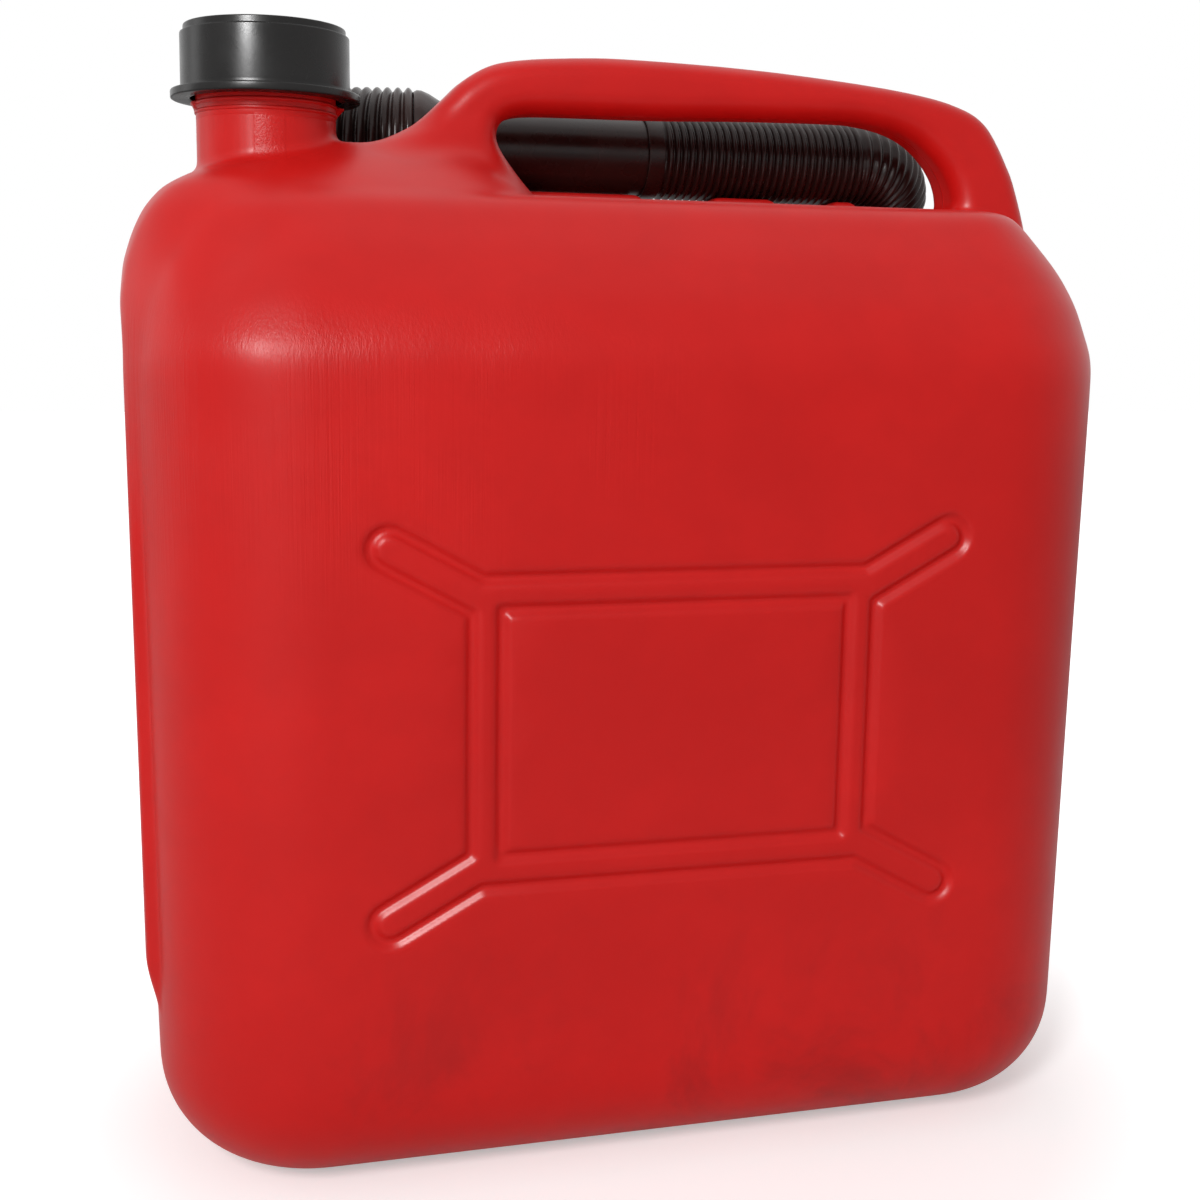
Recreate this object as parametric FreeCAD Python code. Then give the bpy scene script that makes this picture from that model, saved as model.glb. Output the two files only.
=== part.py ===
import FreeCAD, Part
import math
import os

# 20 litre plastic jerry can with a screwed closure and a flexible pouring spout stored behind the
# carrying handle. Millimetres, +Z up, origin at the bottom centre. The neck is at -X, the face
# with the groove pattern that faces the user is at -Y, the stored spout is on the +Y side.

os.makedirs("parts", exist_ok=True)
Vec = FreeCAD.Vector

# ---- tank ----
body_len = 382.0          # length over the end walls, without the bands
body_dep = 183.4          # depth over the two large faces
deck_z = 372.0            # height of the flat deck
crease_z = 317.2          # height where the large faces turn into the sloping shoulder
corner_r = 61.0           # upright corners
bottom_r = 43.0           # rounding round the base
draft_x = 2.4             # how much each end wall leans in at the bottom
draft_y = 4.1             # how much each large face leans in at the bottom
wall = 2.4                # blow-moulded wall
shoulder_ratio = 1.08     # inset across the depth per inset along the length
base_recess = 3.0         # shallow panel under the base
recess_len = 236.0
recess_dep = 58.0

# ---- end bands ----
band_proud = 4.1
band_w = 74.0
band_z0 = 60.0            # where the band starts to leave the end wall
band_ramp = 22.0          # height over which it comes out
band_edge = 3.0           # rounding of its long edges

# ---- neck and closure ----
neck_x = -139.6
neck_r = 26.1
neck_top = 426.0
neck_wall = 2.8
bead_z = (401.2, 404.4)
bead_r = 0.8
thread_pitch = 4.5
thread_z = 411.0          # height of the neck thread's lower end
thread_h = 1.6
thread_turns = 1.75
thread_gap = 0.5          # radial room beyond the crest of the neck thread
ring_turns = 1.5
ring_r = 31.6
ring_top_r = 30.2
ring_step = 2.8
ring_lip = 4.0
ring_flange_r = 35.4
ring_flange_t = 3.1
ring_skirt = 22.9         # from the underside of the lip to the bottom of the flange
lip_overlap = 1.7         # how far the lip reaches over the neck's outside
seat_gap = 0.05           # flat faces that lie on each other
slip_gap = 0.4            # loose pieces that drop in
gasket_t = 1.3
disc_t = 1.5

# ---- carrying handle ----
handle_w = 27.0           # across the depth
handle_edge = 8.0         # rounding of the bar's edges

# ---- spout ----
spout_y = 43.0            # axis behind the centre plane
spout_z = 396.0           # height of its axis
tube_r = 16.2
tube_wall = 1.6
tube_x1 = 28.0            # end of the smooth tube, under the collar
cone_x0 = -76.0           # end of the large bellows
cone_x1 = -61.0           # end of the cone
bend_r = 100.0            # the large bellows bend round the neck
bend_deg = 22.0
bend_len = 42.0           # straight length of the bellows beyond the bend
bellows_r = 24.0
bellows_deep = 2.2
bellows_pitch = 4.2
flange_t = 2.5
collar_len = 7.0
collar_t = 1.3
fit_gap = 0.05            # push fits
hose_r = 17.8
hose_deep = 1.7
hose_pitch = 3.2
hose_wall = 1.2
hose_x0 = 29.0            # first corrugation
hose_x1 = 119.0           # where its end turns down
hose_bend_r = 27.0
hose_bend_deg = 75.0
hose_cuff = 9.0
plug_len = 15.0
saddle_gap = 0.3          # spout to saddles
trough_gap = 1.6          # spout to the rest of the deck

# ---- grooves on the large faces ----
groove_z = 177.0
groove_w = 4.6
groove_deep = 1.6
outer_hw = 78.0           # half width of the outer outline
outer_hh = 57.5
inner_hw = 67.0
inner_hh = 46.0
arm_x = 107.6             # centre of an arm's round end
arm_z = 68.7
arm_r = 6.7


def rounded(x0, x1, hy, r, z, yc=0.0):
    """Rounded rectangle wire at one height, four lines and four arcs."""
    r = min(r, (x1 - x0) / 2 - 0.5, hy - 0.5)
    pts = []
    for cx, cy, a0 in ((x1 - r, hy - r, 0), (x0 + r, hy - r, 90), (x0 + r, r - hy, 180), (x1 - r, r - hy, 270)):
        for k in (0, 45, 90):
            a = math.radians(a0 + k)
            pts.append(Vec(cx + r * math.cos(a), yc + cy + r * math.sin(a), z))
    edges = []
    for i in range(4):
        edges.append(Part.Arc(pts[3 * i], pts[3 * i + 1], pts[3 * i + 2]).toShape())
        edges.append(Part.LineSegment(pts[3 * i + 2], pts[(3 * i + 3) % 12]).toShape())
    return Part.Wire(edges)


def fuse_all(shapes):
    out = shapes[0].multiFuse(shapes[1:]) if len(shapes) > 1 else shapes[0]
    return out.removeSplitter()


def half_len(z):
    return body_len / 2 - draft_x * max(0.0, 1 - z / crease_z)


def half_dep(z):
    return body_dep / 2 - draft_y * max(0.0, 1 - z / crease_z)


# shoulder profile: share of the rise above the crease, inset from the wall
SHOULDER = ((-0.17, 0.0), (-0.06, 0.7), (0.03, 2.4), (0.14, 5.2), (0.28, 9.3), (0.43, 14.8), (0.61, 21.7),
            (0.76, 28.0), (0.90, 34.1), (0.965, 38.2), (0.99, 42.5), (1.0, 49.0))


def shoulder_profile(off):
    """Shoulder points (inset, height), moved inwards by off along their normals."""
    rise = deck_z - crease_z
    raw = [(s, crease_z + k * rise) for k, s in SHOULDER]
    out = []
    for i, (s, z) in enumerate(raw):
        a = raw[max(i - 1, 0)]
        b = raw[min(i + 1, len(raw) - 1)]
        ds, dz = b[0] - a[0], b[1] - a[1]
        n = math.hypot(ds, dz)
        out.append((s + off * dz / n, z - off * ds / n))
    out[-1] = (out[-1][0], deck_z - off)
    return out


def tank(off):
    """The main volume, moved inwards by off."""
    wires = []
    rb = bottom_r - off
    steps = 7
    for k in range(steps + 1):
        t = math.radians(6 + 84.0 * k / steps)
        z = off + rb * (1 - math.cos(t)) - rb * (1 - math.cos(math.radians(6)))
        inset = rb * (1 - math.sin(t)) + off
        wires.append(rounded(-half_len(z) + inset, half_len(z) - inset, half_dep(z) - inset,
                             corner_r - inset, z))
    for s, z in shoulder_profile(off):
        r = corner_r - off - 0.6 * (s - off)
        hx = half_len(z) - s
        hy = half_dep(z) - off - (s - off) * shoulder_ratio
        wires.append(rounded(-hx, hx, hy, r, z))
    return Part.makeLoft(wires, True, True)


def mound(off):
    """Raised shoulder that carries the neck and the front foot of the handle."""
    levels = ((300.0, -188.6, -30.0, 90.0, 60.0), (318.0, -188.4, -30.0, 88.5, 60.0),
              (331.0, -187.6, -30.0, 80.0, 58.0), (345.0, -185.6, -30.0, 70.5, 55.0),
              (357.0, -182.0, -31.0, 62.0, 50.0), (366.0, -177.5, -33.0, 55.0, 45.0),
              (374.0, -170.5, -38.0, 45.0, 38.0), (381.0, -161.0, -46.0, 34.0, 30.0),
              (387.0, -150.0, -54.0, 23.5, 21.0), (390.6, -138.0, -60.0, 15.0, 13.5),
              (392.2, -130.0, -66.0, 8.0, 7.0))
    wires = []
    for z, x0, x1, hy, r in levels:
        o = off
        wires.append(rounded(x0 + o, x1 - o, hy - o, max(r - o, 1.0), z - o * 0.7))
    return Part.makeLoft(wires, True, True)


# handle stations: outer point and inner point of the bar in the centre plane, extra half width
HANDLE = ((-102, 352, -40, 352, 4), (-99, 376, -46, 371, 3), (-84, 398, -51.5, 387, 1), (-72.8, 410, -52.6, 396, 0),
          (-61.5, 420.8, -46.5, 403.4, 0), (-42, 427, -36, 405, 0), (-1, 429.3, 0, 406.6, 0),
          (41, 427.8, 40, 408.6, 0), (75.4, 425.8, 74, 410.4, 0), (111, 423, 108, 411, 0),
          (146, 418, 131, 407.5, 0), (164.5, 408.5, 142.5, 398, 0), (173.5, 394.5, 146.3, 387, 0),
          (180.4, 374.2, 145.6, 373, 1.5), (185.5, 347, 140, 347, 3), (188.6, 322, 138, 322, 4))


def handle(off):
    """Hollow carrying bar: rounded sections lofted along its run."""
    wires = []
    for xo, zo, xi, zi, extra in HANDLE:
        cx, cz = (xo + xi) / 2.0, (zo + zi) / 2.0
        t = math.hypot(xo - xi, zo - zi) / 2.0 - off
        hy = handle_w / 2 + extra - off
        r = min(handle_edge - off * 0.5, t - 0.6, hy - 0.6)
        n = Vec((xo - xi), 0, (zo - zi)).normalize()
        w = rounded(-t, t, hy, r, 0)
        # local x goes to n, local y stays, local z follows the bar
        m = FreeCAD.Matrix(n.x, 0, n.z, cx, 0, 1, 0, 0, n.z, 0, -n.x, cz, 0, 0, 0, 1)
        wires.append(transformed(w, m))
    return Part.makeLoft(wires, True, False)


def transformed(shape, m):
    s = shape.copy()
    s.transformShape(m, True)
    return s


# upper end of each band: inset from its outer face and height above the crease
BAND_TOP = {-1: ((0.4, 13.0), (3.4, 33.0), (10.5, 48.0), (21.0, 57.0)),
            1: ((0.8, -2.0), (2.6, 7.0), (6.8, 14.5), (12.5, 23.5), (19.5, 33.0), (28.0, 43.5), (36.5, 51.5))}


# where the closed upper end returns into the tank: drop and run inwards
BAND_ROOT = {-1: (3.0, 22.0), 1: (4.0, 22.0)}


def end_band(side, off):
    """Raised upright band on an end wall, running up on to the shoulder."""
    x_in = body_len / 2 - 40
    x_out = body_len / 2 + band_proud - off
    h = band_w / 2 - off
    pts = [Vec(x_in, 0, band_z0 - 12), Vec(half_len(band_z0) - 2 - off, 0, band_z0 + off),
           Vec(x_out - draft_x, 0, band_z0 + band_ramp + off), Vec(x_out, 0, crease_z - 8)]
    for inset, up in BAND_TOP[side]:
        pts.append(Vec(x_out - inset, 0, crease_z + up - off * 0.5))
    drop, back = BAND_ROOT[side]
    pts.append(Vec(x_in - back, 0, pts[-1].z - drop))
    f = Part.Face(Part.makePolygon(pts + [pts[0]]))
    s = f.extrude(Vec(0, 2 * h, 0))
    s.translate(Vec(0, -h, 0))
    long_edges = [e for e in s.Edges if e.BoundBox.YLength < 0.01 and e.BoundBox.XMax > x_out - 1.7
                  and e.BoundBox.XMin > x_out - draft_x - 1.0 and e.BoundBox.ZLength > 8]
    s = s.makeFillet(band_edge - off * 0.4, long_edges)
    if side < 0:
        s = s.mirror(Vec(0, 0, 0), Vec(1, 0, 0))
    return s


def spout_path():
    """Stations of the spout's axis: function from x-like length to point and direction."""
    a = math.radians(bend_deg)
    bx = cone_x1
    ex = bx - bend_r * math.sin(a)
    ey = spout_y + bend_r * (1 - math.cos(a))
    return a, bx, ex, ey


def axis_at(s):
    """Point and direction s mm back from the start of the large bellows' bend (s grows to -X)."""
    a, bx, ex, ey = spout_path()
    if s <= 0:
        return Vec(bx - s, spout_y, spout_z), Vec(-1, 0, 0)
    if s <= bend_r * a:
        t = s / bend_r
        p = Vec(bx - bend_r * math.sin(t), spout_y + bend_r * (1 - math.cos(t)), spout_z)
        return p, Vec(-math.cos(t), math.sin(t), 0)
    d = s - bend_r * a
    return Vec(ex - d * math.cos(a), ey + d * math.sin(a), spout_z), Vec(-math.cos(a), math.sin(a), 0)


DROOP = Vec(0, 0.77, -0.64).normalize()


def hose_at(s):
    """Point and direction s mm along the hose's bent end."""
    if s <= 0:
        return Vec(hose_x1 + s, spout_y, spout_z), Vec(1, 0, 0)
    a = math.radians(hose_bend_deg)
    t = min(s / hose_bend_r, a)
    p = Vec(hose_x1 + hose_bend_r * math.sin(t), spout_y, spout_z)
    p = p + DROOP * (hose_bend_r * (1 - math.cos(t)))
    d = Vec(math.cos(t), 0, 0) + DROOP * math.sin(t)
    rest = s - hose_bend_r * a
    if rest > 0:
        p = p + d * rest
    return p, d


def ring_wire(p, d, r):
    return Part.Wire([Part.Circle(p, d, r).toShape()])


def lofted(stations):
    """Solid through circles (point, direction, radius)."""
    return Part.makeLoft([ring_wire(p, d, r) for p, d, r in stations], True, True)


def tube_stations(off):
    """Outside of the base flange, large bellows, cone and tube, moved inwards by off."""
    a = math.radians(bend_deg)
    s_end = bend_r * a + bend_len
    flange_r = neck_r - 0.1
    st = []
    p, d = axis_at(s_end)
    if off == 0:
        st.append((p, d, flange_r))
        p, d = axis_at(s_end - flange_t)
        st.append((p, d, flange_r))
        st.append((p - d * 0.01, d, bellows_r - bellows_deep))
    else:
        st.append((p + d * 1.0, d, bellows_r - bellows_deep - off))
    s0 = cone_x1 - cone_x0
    n = int((s_end - flange_t - 1.0 - s0) / bellows_pitch)
    step = (s_end - flange_t - 1.0 - s0) / n
    for i in range(n):
        s = s_end - flange_t - 1.0 - i * step
        for k, r in ((0.25, bellows_r - bellows_deep), (0.42, bellows_r), (0.72, bellows_r),
                     (0.9, bellows_r - bellows_deep)):
            p, d = axis_at(s - k * step)
            st.append((p, d, r - off))
    for k, r in ((0.0, bellows_r - 0.6), (0.25, bellows_r - 1.4), (0.6, bellows_r - 4.2), (1.0, tube_r)):
        p, d = axis_at(s0 * (1 - k))
        st.append((p, d, r - off))
    p, d = axis_at(cone_x1 - tube_x1 - (0 if off == 0 else 1.0))
    st.append((p, d, tube_r - off))
    return st


def spout_tube():
    return lofted(tube_stations(0)).cut(lofted(tube_stations(tube_wall)))


def hose_stations(off):
    a = math.radians(hose_bend_deg)
    total = hose_x1 - hose_x0 + hose_bend_r * a
    st = []
    root = hose_r - hose_deep
    plug = tube_r - tube_wall - fit_gap
    x = tube_x1 - plug_len
    st.append((Vec(x - (1 if off else 0), spout_y, spout_z), Vec(1, 0, 0), plug - off))
    st.append((Vec(tube_x1 + 0.2 + off * 0.5, spout_y, spout_z), Vec(1, 0, 0), plug - off))
    st.append((Vec(tube_x1 + 0.4 + off * 0.5, spout_y, spout_z), Vec(1, 0, 0), root - off))
    n = int(total / hose_pitch)
    step = total / n
    for i in range(n):
        for k, r in ((0.1, root), (0.35, hose_r), (0.75, hose_r), (0.98, root)):
            p, d = hose_at(hose_x0 - hose_x1 + (i + k) * step)
            st.append((p, d, r - off))
    p, d = hose_at(hose_bend_r * a + hose_cuff * 0.2)
    st.append((p, d, root - off))
    p, d = hose_at(hose_bend_r * a + hose_cuff + (1.0 if off else 0.0))
    st.append((p, d, root - 1.0 - off))
    return st


def spout_hose():
    return lofted(hose_stations(0)).cut(lofted(hose_stations(hose_wall)))


def spout_collar():
    base = Vec(tube_x1 - collar_len, spout_y, spout_z)
    out = Part.makeCylinder(tube_r + fit_gap + collar_t, collar_len, base, Vec(1, 0, 0))
    edges = [e for e in out.Edges if e.BoundBox.XLength < 0.01]
    out = out.makeFillet(0.4, edges)
    return out.cut(Part.makeCylinder(tube_r + fit_gap, collar_len, base, Vec(1, 0, 0)))


def spout_room(gap):
    """The stored spout's room: smooth envelope of the spout, open to the top."""
    a = math.radians(bend_deg)
    s_end = bend_r * a + bend_len
    parts = []
    r_big = neck_r + gap
    p0, d0 = axis_at(s_end + gap)
    p1, d1 = axis_at(bend_r * a)
    parts.append(Part.makeCylinder(r_big, (p0 - p1).Length, p1, d0))
    st = []
    p, d = axis_at(-gap)
    st.append((p, d, bellows_r + gap + 0.6))
    for k in range(5):
        p, d = axis_at(bend_r * a * k / 4.0)
        st.append((p, d, bellows_r + gap + 0.6))
    parts.append(lofted(st))
    p, d = axis_at(0)
    parts.append(Part.makeCylinder(tube_r + gap, hose_x0 - p.x, p, Vec(1, 0, 0)))
    st = []
    for k in range(6):
        p, d = hose_at(hose_bend_r * math.radians(hose_bend_deg) * k / 5.0)
        st.append((p, d, hose_r + gap))
    p, d = hose_at(hose_bend_r * math.radians(hose_bend_deg) + hose_cuff + 8 + gap)
    st.append((p, d, hose_r + gap))
    parts.append(lofted(st))
    parts.append(Part.makeCylinder(hose_r + gap, hose_x1 - hose_x0 + 0.5, Vec(hose_x0, spout_y, spout_z),
                                   Vec(1, 0, 0)))
    return fuse_all(parts)


# saddles: x range of each, radius of what lies in it
SADDLES = ((-49.0, 27.0 - 8.0, 0), (hose_x0 + 20.0, hose_x0 + 50.0, 1), (hose_x0 + 75.0, hose_x0 + 88.0, 1))
saddle_w = 36.0
saddle_top = 379.0


def saddles(off):
    """Cradles on the deck that the stored spout lies in."""
    out = []
    for x0, x1, kind in SADDLES:
        r = (hose_r if kind else tube_r) + saddle_gap + off
        h = saddle_w / 2 - off
        z1 = saddle_top - off * 0.6
        lo = deck_z - 34
        pts = [Vec(x0 + off, spout_y - h - 3, lo), Vec(x0 + off, spout_y - h, z1), Vec(x0 + off, spout_y + h, z1),
               Vec(x0 + off, spout_y + h + 1, lo)]
        f = Part.Face(Part.makePolygon(pts + [pts[0]]))
        s = f.extrude(Vec(x1 - x0 - 2 * off, 0, 0))
        cyl = Part.makeCylinder(r, x1 - x0 + 4, Vec(x0 - 2, spout_y, spout_z), Vec(1, 0, 0))
        out.append(s.cut(cyl))
    return out


def outline(hw, hh, arms):
    """Closed outline of a groove in the plane of the face (x, height)."""
    if not arms:
        w = rounded(-hw, hw, hh, 2.0, 0)
        return w
    # arm direction and its two sides
    ax, az = arm_x, arm_z
    ux, uz = ax - (hw - 5.0), az - (hh - 8.0)
    n = math.hypot(ux, uz)
    ux, uz = ux / n, uz / n
    nx, nz = -uz, ux
    top = (ax + nx * arm_r, az + nz * arm_r)
    tip = (ax + ux * arm_r, az + uz * arm_r)
    low = (ax - nx * arm_r, az - nz * arm_r)
    # where the sides of the arm meet the sides of the rectangle
    k = (top[1] - hh) / uz
    on_top = (top[0] - ux * k, hh)
    k = (low[0] - hw) / ux
    on_side = (hw, low[1] - uz * k)
    quad = [on_top, top, tip, low, on_side]
    edges = []
    order = [(1, 1, False), (1, -1, True), (-1, -1, False), (-1, 1, True)]
    chain = []
    for sx, sz, flip in order:
        q = [(sx * x, sz * z) for x, z in quad]
        chain.append(q[::-1] if flip else q)
    for i, q in enumerate(chain):
        p = [Vec(x, z, 0) for x, z in q]
        edges.append(Part.LineSegment(p[0], p[1]).toShape())
        edges.append(Part.Arc(p[1], p[2], p[3]).toShape())
        edges.append(Part.LineSegment(p[3], p[4]).toShape())
        nxt = chain[(i + 1) % 4][0]
        edges.append(Part.LineSegment(p[4], Vec(nxt[0], nxt[1], 0)).toShape())
    return Part.Wire(edges)


def groove_tool(side, grow, reach):
    """Band along both outlines, sunk into the face by groove_deep + grow."""
    deep = groove_deep + grow
    out = []
    for hw, hh, arms in ((outer_hw, outer_hh, True), (inner_hw, inner_hh, False)):
        w = outline(hw, hh, arms)
        g = groove_w / 2 + grow
        big = w.makeOffset2D(g)
        small = w.makeOffset2D(-g)
        f = Part.Face(big).cut(Part.Face(small))
        out.append(f.extrude(Vec(0, 0, deep + reach)))
    tool = fuse_all(out)
    # outline plane to face plane: up is +Z, the sunk direction points into the tank
    lean = math.atan2(draft_y, crease_z)
    y_face = half_dep(groove_z)
    tool.translate(Vec(0, 0, -deep))
    tool.rotate(Vec(0, 0, 0), Vec(1, 0, 0), 90 + math.degrees(lean))
    tool.translate(Vec(0, -y_face, groove_z))
    if side > 0:
        tool = tool.mirror(Vec(0, 0, 0), Vec(0, 1, 0))
    return tool


def thread(r_root, r_crest, z0, turns, w_root, w_crest):
    """Right-hand ridge along a helix on the neck's axis."""
    helix = Part.makeHelix(thread_pitch, thread_pitch * turns, (r_root + r_crest) / 2)
    helix.translate(Vec(0, 0, 0))
    pts = [Vec(r_root, 0, -w_root / 2), Vec(r_crest, 0, -w_crest / 2), Vec(r_crest, 0, w_crest / 2),
           Vec(r_root, 0, w_root / 2)]
    prof = Part.makePolygon(pts + [pts[0]])
    s = Part.Wire(helix).makePipeShell([prof], True, True)
    s.translate(Vec(neck_x, 0, z0))
    return s


def revolved(points, x):
    """Solid of revolution about a vertical axis at x from (radius, height) points."""
    pts = [Vec(r, 0, z) for r, z in points]
    f = Part.Face(Part.makePolygon(pts + [pts[0]]))
    s = f.revolve(Vec(0, 0, 0), Vec(0, 0, 1), 360)
    s.translate(Vec(x, 0, 0))
    return s


def neck():
    lip = 1.0
    pts = [(0, deck_z - 6), (neck_r, deck_z - 6)]
    for z in bead_z:
        pts += [(neck_r, z - bead_r), (neck_r + bead_r * 0.7, z - bead_r * 0.7), (neck_r + bead_r, z),
                (neck_r + bead_r * 0.7, z + bead_r * 0.7), (neck_r, z + bead_r)]
    pts += [(neck_r, neck_top - lip), (neck_r - lip * 0.4, neck_top), (0, neck_top)]
    out = [revolved(pts, neck_x)]
    out.append(thread(neck_r - 0.4, neck_r + thread_h, thread_z, thread_turns, 2.9, 1.2))
    # two locking lugs just under the ring's flange
    top = flange_bottom() - 0.7
    lug = Part.makeBox(6, 9, 5.5, Vec(neck_x - neck_r - 2.0, -4.5, top - 5.5))
    pawl = Part.makeBox(8, 6, 5.0, Vec(neck_x + neck_r - 3.8, -3.0, top - 5.0))
    return fuse_all(out + [lug, pawl])


def flange_bottom():
    return lip_under() - ring_skirt


def lip_under():
    """Underside of the ring's lip, above gasket and disc."""
    return neck_top + gasket_t + disc_t + 3 * seat_gap


def cavity():
    """Everything the tank's walls enclose."""
    inner = [tank(wall), mound(wall), handle(wall)]
    inner += [end_band(1, wall), end_band(-1, wall)]
    inner += saddles(wall)
    room = fuse_all(inner)
    room = room.cut(spout_room(trough_gap + wall).cut(fuse_all(saddles(-0.01))))
    grooves = [groove_tool(s, wall, 6) for s in (-1, 1)]
    room = room.cut(fuse_all(grooves))
    hx = recess_len / 2 + wall
    hy = recess_dep / 2 + wall
    pan = Part.Face(rounded(-hx, hx, hy, 18.0 + wall, -1)).extrude(Vec(0, 0, 1 + base_recess + wall))
    room = room.cut(pan)
    bore = Part.makeCylinder(neck_r - neck_wall, neck_top - deck_z + 10, Vec(neck_x, 0, deck_z - 4), Vec(0, 0, 1))
    return room.fuse(bore)


def can_body():
    outer = [tank(0), mound(0), handle(0), end_band(1, 0), end_band(-1, 0)]
    shell = fuse_all(outer)
    shell = shell.cut(spout_room(trough_gap))
    shell = fuse_all([shell] + saddles(0) + [neck()])
    hx = recess_len / 2
    pan = Part.Face(rounded(-hx, hx, recess_dep / 2, 18.0, -1)).extrude(Vec(0, 0, 1 + base_recess))
    cuts = [pan] + [groove_tool(s, 0, 6) for s in (-1, 1)]
    for c in cuts:
        shell = shell.cut(c)
    return shell.cut(cavity())


def cap_ring():
    z1 = lip_under()
    z0 = flange_bottom()
    top = z1 + ring_lip
    bore = neck_r + thread_h + thread_gap
    hole = neck_r - lip_overlap
    c = 0.6
    pts = [(bore, z0), (ring_flange_r - c, z0), (ring_flange_r, z0 + c), (ring_flange_r, z0 + ring_flange_t - c),
           (ring_flange_r - c, z0 + ring_flange_t), (ring_r + 0.5, z0 + ring_flange_t),
           (ring_r, z0 + ring_flange_t + 0.6), (ring_r, top - ring_step - c), (ring_r - c, top - ring_step),
           (ring_top_r, top - ring_step), (ring_top_r, top - 1.2), (ring_top_r - 0.5, top - 0.4),
           (ring_top_r - 1.4, top), (hole, top), (hole, z1), (bore, z1)]
    body = revolved(pts, neck_x)
    ridge = thread(bore + 0.4, neck_r + 0.5, thread_z + thread_pitch / 2, ring_turns, 2.7, 1.1)
    return body.fuse(ridge).removeSplitter()


def cap_disc():
    z0 = neck_top + gasket_t + 2 * seat_gap
    r_wide = neck_r + thread_h + thread_gap - slip_gap
    r_boss = neck_r - lip_overlap - slip_gap
    top = z0 + disc_t + ring_lip - 0.6
    pts = [(0, z0), (r_wide, z0), (r_wide, z0 + disc_t), (r_boss, z0 + disc_t), (r_boss, top - 0.8),
           (r_boss - 0.8, top), (r_boss - 3.2, top), (r_boss - 4.0, top - 1.2), (0, top - 1.2)]
    return revolved(pts, neck_x)


def cap_gasket():
    z0 = neck_top + seat_gap
    r_in = neck_r - neck_wall
    r_out = neck_r + thread_h * 0.4
    pts = [(r_in, z0), (r_out, z0), (r_out, z0 + gasket_t), (r_in, z0 + gasket_t)]
    return revolved(pts, neck_x)


def main():
    made = {"can_body": can_body, "cap_ring": cap_ring, "cap_disc": cap_disc, "cap_gasket": cap_gasket,
            "spout_tube": spout_tube, "spout_collar": spout_collar, "spout_hose": spout_hose}
    for name, make in made.items():
        shape = make()
        solids = shape.Solids
        box = shape.BoundBox
        print("%-13s solids %d valid %s volume %.1f cm3  x %.1f..%.1f y %.1f..%.1f z %.1f..%.1f" % (
            name, len(solids), shape.isValid(), shape.Volume / 1000.0, box.XMin, box.XMax, box.YMin, box.YMax,
            box.ZMin, box.ZMax))
        out = solids[0] if len(solids) == 1 else shape
        out.exportStep("parts/%s.step" % name)


main()
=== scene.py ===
import itertools
import math

import bpy
import numpy as np
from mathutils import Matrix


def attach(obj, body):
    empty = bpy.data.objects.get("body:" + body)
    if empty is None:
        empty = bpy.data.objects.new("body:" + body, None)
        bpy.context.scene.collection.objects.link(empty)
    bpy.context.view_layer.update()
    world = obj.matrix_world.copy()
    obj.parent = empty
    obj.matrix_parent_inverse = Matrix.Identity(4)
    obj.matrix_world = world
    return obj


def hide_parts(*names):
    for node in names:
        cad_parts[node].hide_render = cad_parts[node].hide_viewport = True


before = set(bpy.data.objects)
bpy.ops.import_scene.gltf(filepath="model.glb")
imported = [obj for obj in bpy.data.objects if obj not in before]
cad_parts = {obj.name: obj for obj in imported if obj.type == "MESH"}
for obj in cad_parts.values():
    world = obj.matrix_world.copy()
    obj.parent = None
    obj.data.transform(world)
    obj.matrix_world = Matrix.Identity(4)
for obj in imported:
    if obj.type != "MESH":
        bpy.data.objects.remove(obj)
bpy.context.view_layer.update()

import openvdb
from mathutils import Matrix, Vector

# Red 20 litre jerry can with a screwed closure and a flexible spout stored behind the handle.
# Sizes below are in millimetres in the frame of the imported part; meshes are written in metres.
F32 = np.float32
MM = 0.001

# ---------------------------------------------------------------- sizes shared with the frame
NECK_X, NECK_R, NECK_TOP, NECK_WALL = -139.6, 26.1, 426.0, 2.8
SPOUT_Y, SPOUT_Z = 43.0, 396.0
TUBE_R, TUBE_X1, TUBE_WALL = 16.2, 28.0, 1.6
CONE_X0, CONE_X1 = -76.0, -61.0
BEND_R, BEND_A, BEND_LEN = 100.0, math.radians(22.0), 42.0
BELLOWS_R, BELLOWS_DEEP, BELLOWS_PITCH = 24.0, 2.2, 4.2
HOSE_R, HOSE_DEEP, HOSE_PITCH, HOSE_WALL = 17.8, 1.7, 3.2, 1.2
HOSE_X0, HOSE_X1, HOSE_BEND, HOSE_A, HOSE_CUFF = 29.0, 119.0, 27.0, math.radians(75.0), 9.0
CREASE, DECK = 317.2, 372.0                  # foot of the sloping shoulder, and the flat deck
HALF_LEN, HALF_DEP = 191.0, 91.7             # of the tank's walls at the crease
LEAN_X, LEAN_Y = 2.4, 4.1                    # how far they lean in at the base
CORNER_R, BASE_R = 61.0, 43.0
SLOPE_RATIO, CORNER_SHRINK = 0.08, 0.1       # steeper across the depth; corners sharpen upwards
HANDLE_HALF, HANDLE_EDGE = 13.5, 8.5
BAND_PROUD, BAND_HALF, BAND_FOOT = 4.1, 37.0, 58.0
SADDLE_TOP, SADDLE_GAP = 379.0, 0.4
SADDLES = ((-49.0, 19.0, TUBE_R), (49.0, 79.0, HOSE_R), (104.0, 117.0, HOSE_R))
ROOM_GAP = 1.6                               # air round the stored spout
GROOVE_Z, GROOVE_DEEP = 177.0, 2.1
PANEL_X, PANEL_Z = 67.0, 46.0
RECESS = (118.0, 29.0, 18.0, 3.0)            # half length, half depth, corner and depth under the base
THREAD_PITCH, NECK_THREAD_Z, RING_THREAD_Z = 4.5, 411.0, 413.25
NECK_TURNS, RING_TURNS = 1.75, 1.5
GASKET_T, DISC_T = 1.3, 1.5
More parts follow.
